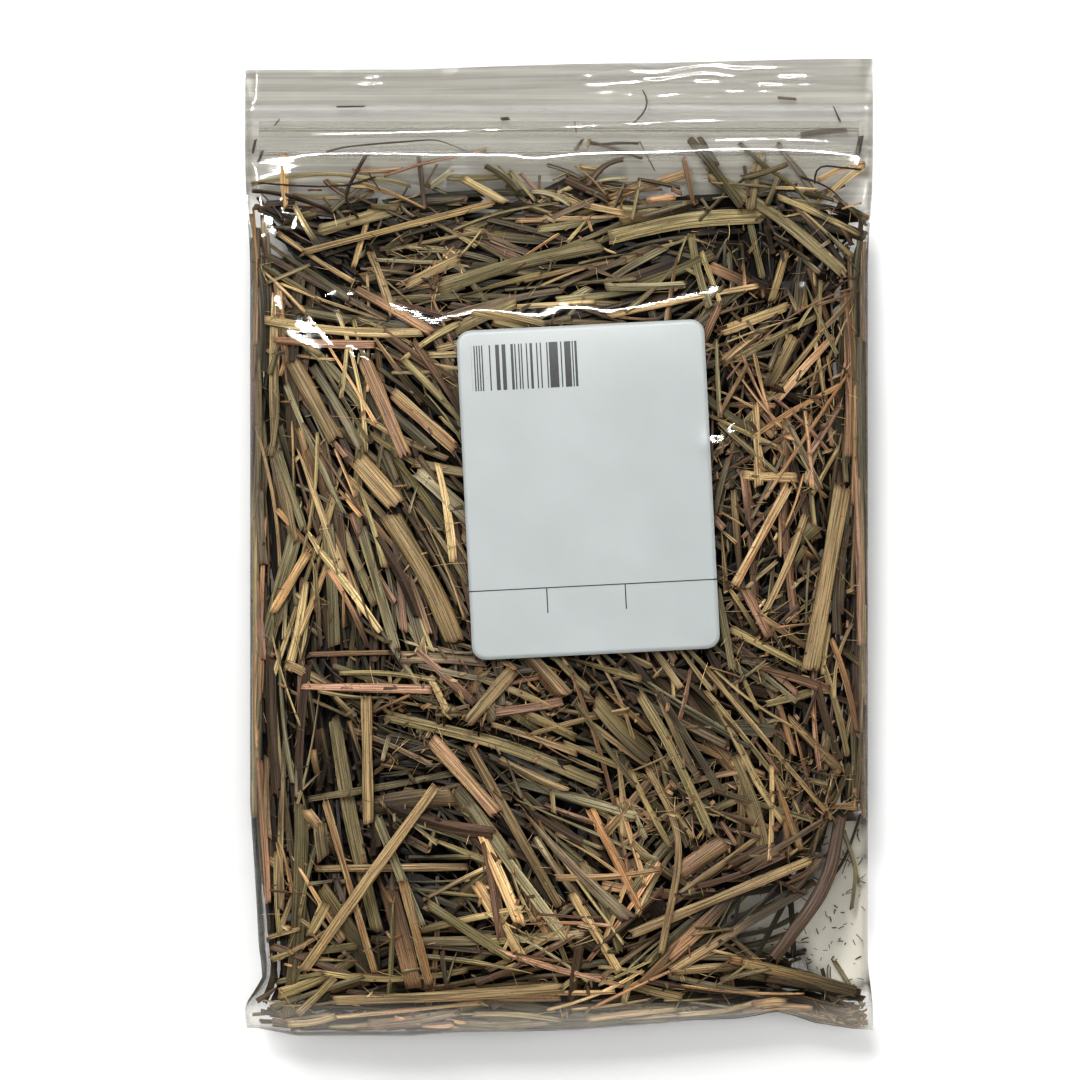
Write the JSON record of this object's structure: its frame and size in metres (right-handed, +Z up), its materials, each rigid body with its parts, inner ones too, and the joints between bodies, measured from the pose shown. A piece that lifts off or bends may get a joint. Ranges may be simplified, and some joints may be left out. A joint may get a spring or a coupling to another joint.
{
  "type": "zip bag of dried cut lemongrass",
  "caption": "Clear press-to-close bag packed with dried cut lemongrass blades, sheaths and stems, with a plain blank label on its front, lying on its back.",
  "frame": {"origin": "bottom centre of the part's bounding box", "axes": "+X across the bag, +Y from the bottom fold to the mouth, +Z up out of the labelled front"},
  "size_m": [0.1456, 0.226, 0.0254],
  "materials": {
    "film": "clear, glossy polyethylene film with fine extrusion lines",
    "zip": "clear extruded zip strips",
    "label": "satin white paper label",
    "packed": "tangled dry cuttings in shadow",
    "olive": "dry olive green leaf",
    "grey_green": "dry grey green leaf",
    "straw": "dry straw coloured leaf",
    "tan": "dry tan leaf",
    "rust": "dry orange brown leaf",
    "pink": "dry pink brown sheath",
    "plum": "dry purple brown sheath"
  },
  "bodies": {
    "root": {"bag_film": "film", "paper_label": "label", "packed_cuttings": "packed", "lower_zip_rib": "zip", "lower_zip_groove": "zip", "upper_zip_rib": "zip", "upper_zip_groove": "zip", "leaf_blade_01": "olive", "cut_stem_01": "tan", "cut_stem_02": "straw", "cut_stem_03": "straw", "leaf_blade_02": "olive", "leaf_blade_03": "olive", "leaf_blade_04": "tan", "cut_stem_04": "rust", "cut_stem_05": "olive", "cut_stem_06": "grey_green", "cut_stem_07": "tan", "leaf_blade_05": "tan", "leaf_sheath_01": "tan", "leaf_sheath_02": "pink", "leaf_sheath_03": "straw", "leaf_sheath_04": "tan", "leaf_blade_06": "grey_green", "cut_stem_08": "grey_green", "cut_stem_09": "rust", "cut_stem_10": "pink", "leaf_blade_07": "olive", "leaf_blade_08": "rust", "cut_stem_11": "rust", "leaf_blade_09": "grey_green", "leaf_blade_10": "olive", "cut_stem_12": "tan", "cut_stem_13": "straw", "cut_stem_14": "rust", "cut_stem_15": "straw", "leaf_blade_11": "olive", "leaf_sheath_05": "tan", "leaf_blade_12": "olive", "leaf_blade_13": "grey_green", "cut_stem_16": "rust", "cut_stem_17": "tan", "leaf_sheath_06": "pink", "cut_stem_18": "tan", "leaf_blade_14": "olive", "cut_stem_19": "tan", "leaf_blade_15": "olive", "leaf_blade_16": "straw", "cut_stem_20": "straw", "cut_stem_21": "straw", "leaf_sheath_07": "plum", "leaf_sheath_08": "pink"}
  },
  "joints": []
}
